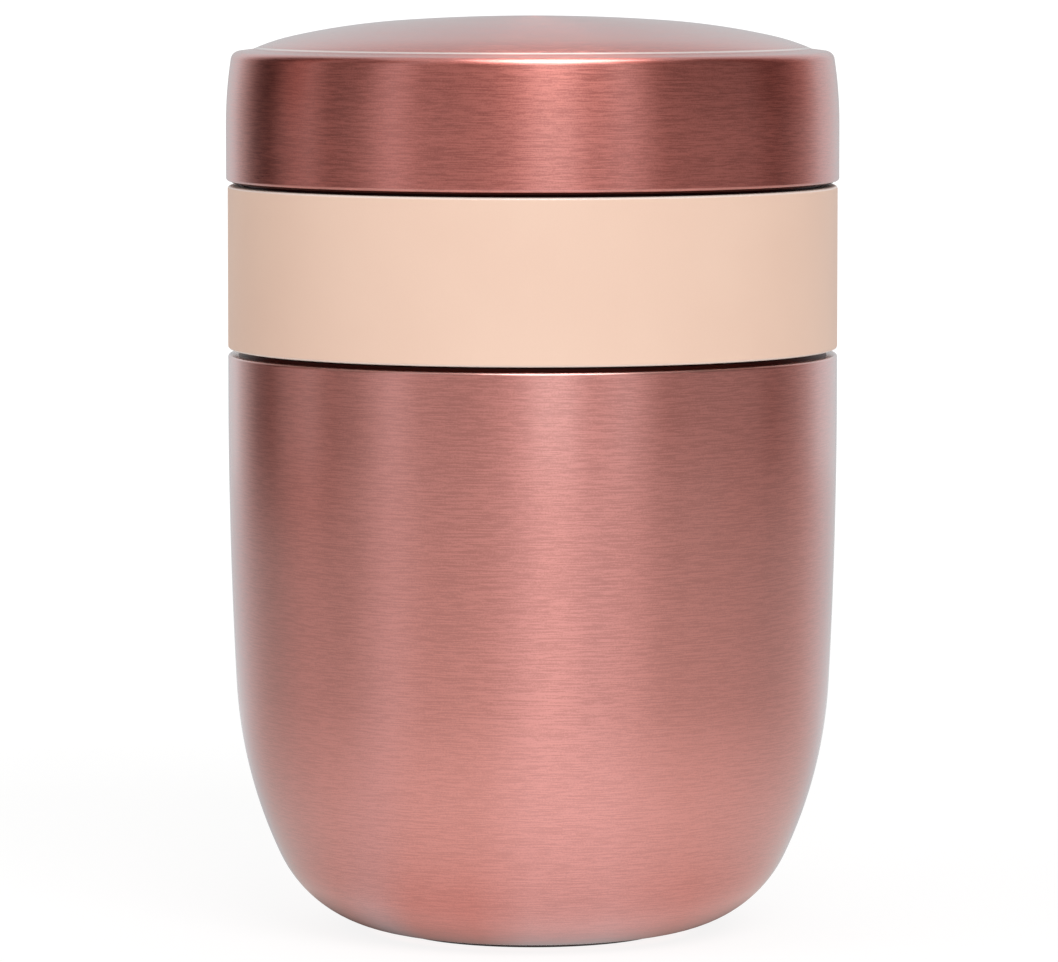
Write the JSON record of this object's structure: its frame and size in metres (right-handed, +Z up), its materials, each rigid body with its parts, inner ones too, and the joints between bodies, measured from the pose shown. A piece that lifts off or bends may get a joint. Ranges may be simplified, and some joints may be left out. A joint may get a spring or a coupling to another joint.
{
  "type": "milk frother",
  "caption": "Round electric milk frother jug with a lift-off domed lid, a turning control band, a heated pot, a magnet-driven whisk and a power socket underneath.",
  "frame": {"origin": "middle of the underside, on the table", "axes": "+Z up, along the jug's axis; -Y towards the viewer"},
  "size_m": [0.1005, 0.1004, 0.1506],
  "materials": {
    "rose_metal": "brushed round the axis, rose-coloured",
    "rose_metal_lid": "brushed round the axis, rose-coloured, a little darker",
    "peach_plastic": "fine matte",
    "dark_plastic": "satin",
    "frame_plastic": "satin, moulded",
    "bearing_plastic": "smooth",
    "pot_steel": "drawn and polished",
    "bright_steel": "plain",
    "silicone": "matte",
    "foam": "closed-cell foam",
    "magnet": "nickel-plated",
    "ferrite": "sintered",
    "copper": "enamelled wire",
    "contact_brass": "plain",
    "spreader": "pressed",
    "board": "solder mask",
    "component": "moulded",
    "relay_case": "moulded",
    "connector": "moulded",
    "capacitor": "sleeved",
    "lead": "insulated wire",
    "carbon": "pressed"
  },
  "bodies": {
    "jug": {"outer_jacket": "rose_metal", "collar": "dark_plastic", "rim_ring": "dark_plastic", "base_plate": "dark_plastic", "chassis": "frame_plastic", "power_socket": "frame_plastic", "motor_end_bell": "frame_plastic", "inner_pot": "pot_steel", "pivot_pin": "bright_steel", "base_screws": "bright_steel", "pot_studs": "bright_steel", "chassis_nuts": "bright_steel", "motor_screws": "bright_steel", "board_screws": "bright_steel", "motor_can": "bright_steel", "heating_element": "bright_steel", "element_terminals": "bright_steel", "temperature_probe": "bright_steel", "foot_ring": "silicone", "pot_seal": "silicone", "field_magnets": "ferrite", "socket_contacts": "contact_brass", "upper_bush": "contact_brass", "lower_bush": "contact_brass", "heat_spreader": "spreader", "control_board": "board", "sensor_board": "board", "hall_sensors": "component", "control_chip": "component", "safety_thermostat": "component", "power_relay": "relay_case", "board_connectors": "connector", "capacitors": "capacitor", "supply_leads": "lead", "motor_leads": "lead", "heater_leads": "lead", "sensor_lead": "lead", "motor_brushes": "carbon"},
    "lid": {"lid_cap": "rose_metal_lid", "lid_base": "dark_plastic", "lid_liner": "dark_plastic", "lid_seal": "silicone", "lid_insulation": "foam"},
    "band": {"control_band": "peach_plastic", "band_magnets": "magnet"},
    "rotor": {"motor_shaft": "bright_steel", "armature_core": "bright_steel", "armature_windings": "copper", "commutator": "copper", "drive_disc": "frame_plastic", "drive_magnets": "magnet"},
    "sleeve": {"whisk_sleeve": "bearing_plastic"},
    "whisk": {"whisk_hub": "dark_plastic", "whisk_cover": "dark_plastic", "whisk_magnets": "magnet", "froth_coil": "bright_steel"}
  },
  "joints": [
    {"name": "lid_lift", "type": "slide", "parent": "jug", "child": "lid", "axis": [0, 0, 1], "range_m": [0, 0.06]},
    {"name": "band_turn", "type": "hinge", "parent": "jug", "child": "band", "pos_m": [0, 0, 0.1095], "axis": [0, 0, 1], "range_deg": [0, 60]},
    {"name": "rotor_spin", "type": "hinge", "parent": "jug", "child": "rotor", "pos_m": [0, 0, 0.028], "axis": [0, 0, 1], "continuous": true},
    {"name": "whisk_lift", "type": "slide", "parent": "jug", "child": "sleeve", "axis": [0, 0, 1], "range_m": [0, 0.04]},
    {"name": "whisk_spin", "type": "hinge", "parent": "sleeve", "child": "whisk", "pos_m": [0, 0, 0.059], "axis": [0, 0, 1], "continuous": true}
  ],
  "couplings": [
    {"joint": "whisk_spin", "follows": "rotor_spin", "ratio": 1}
  ]
}
